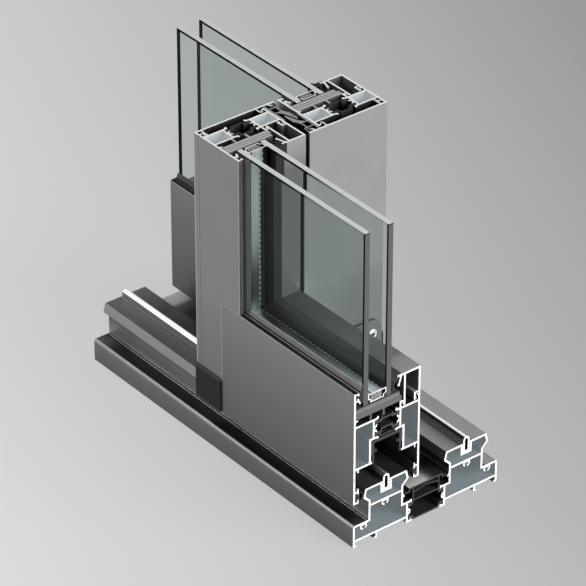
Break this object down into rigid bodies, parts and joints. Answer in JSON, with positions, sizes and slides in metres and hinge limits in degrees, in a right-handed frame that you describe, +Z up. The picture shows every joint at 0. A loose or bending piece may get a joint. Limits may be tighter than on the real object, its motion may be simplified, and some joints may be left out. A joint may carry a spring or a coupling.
{
  "type": "sliding patio door corner sample",
  "caption": "Cut corner of a two-track sliding glass patio door: sill, tracks, two interlocking double-glazed sashes that slide apart",
  "frame": {"origin": "under the middle of the sill, on the plane that the sill rests on", "axes": "X along the tracks towards the cut end of the outer sash, Y from the outside to the room side, Z up"},
  "size_m": [0.3, 0.1324, 0.25],
  "materials": {
    "painted_aluminium": "satin dark grey powder coat",
    "stainless_steel": "bright rolled",
    "polyamide": "matte black, glass-filled",
    "channel_plastic": "matte dark grey",
    "gasket_rubber": "matte black",
    "packer_plastic": "matte grey",
    "glass": "clear float",
    "spacer_aluminium": "satin mill",
    "sealant": "matte dark grey",
    "hook_plastic": "matte grey",
    "cap_plastic": "matte near-black",
    "carriage_plastic": "matte"
  },
  "bodies": {
    "frame": {"sill_front_profile": "painted_aluminium", "sill_rear_profile": "painted_aluminium", "sill_track_rails": "stainless_steel", "sill_upper_insulator": "polyamide", "sill_lower_insulator": "polyamide"},
    "front_sash": {"front_rail_outer_shell": "painted_aluminium", "front_rail_inner_shell": "painted_aluminium", "front_stile_outer_shell": "painted_aluminium", "front_stile_inner_shell": "painted_aluminium", "front_rail_insulators": "polyamide", "front_stile_insulators": "polyamide", "front_roller_channel": "channel_plastic", "front_glazing_beads": "painted_aluminium", "front_outer_gasket": "gasket_rubber", "front_inner_gasket": "gasket_rubber", "front_glazing_packers": "packer_plastic", "front_glass_panes": "glass", "front_spacer_bar": "spacer_aluminium", "front_edge_sealant": "sealant", "front_interlock_cover": "painted_aluminium", "front_interlock_hook": "hook_plastic", "front_end_cap": "cap_plastic", "front_sill_gaskets": "gasket_rubber", "front_roller_carriage": "carriage_plastic"},
    "rear_sash": {"rear_rail_outer_shell": "painted_aluminium", "rear_rail_inner_shell": "painted_aluminium", "rear_stile_outer_shell": "painted_aluminium", "rear_stile_inner_shell": "painted_aluminium", "rear_rail_insulators": "polyamide", "rear_stile_insulators": "polyamide", "rear_roller_channel": "channel_plastic", "rear_glazing_beads": "painted_aluminium", "rear_outer_gasket": "gasket_rubber", "rear_inner_gasket": "gasket_rubber", "rear_glazing_packers": "packer_plastic", "rear_glass_panes": "glass", "rear_spacer_bar": "spacer_aluminium", "rear_edge_sealant": "sealant", "rear_interlock_cover": "painted_aluminium", "rear_interlock_hook": "hook_plastic", "rear_end_cap": "cap_plastic", "rear_sill_gaskets": "gasket_rubber", "rear_roller_carriage": "carriage_plastic"}
  },
  "joints": [
    {"name": "front_sash_slide", "type": "slide", "parent": "frame", "child": "front_sash", "axis": [-1, 0, 0], "range_m": [0, 0.115]},
    {"name": "rear_sash_slide", "type": "slide", "parent": "frame", "child": "rear_sash", "axis": [1, 0, 0], "range_m": [0, 0.115]}
  ]
}
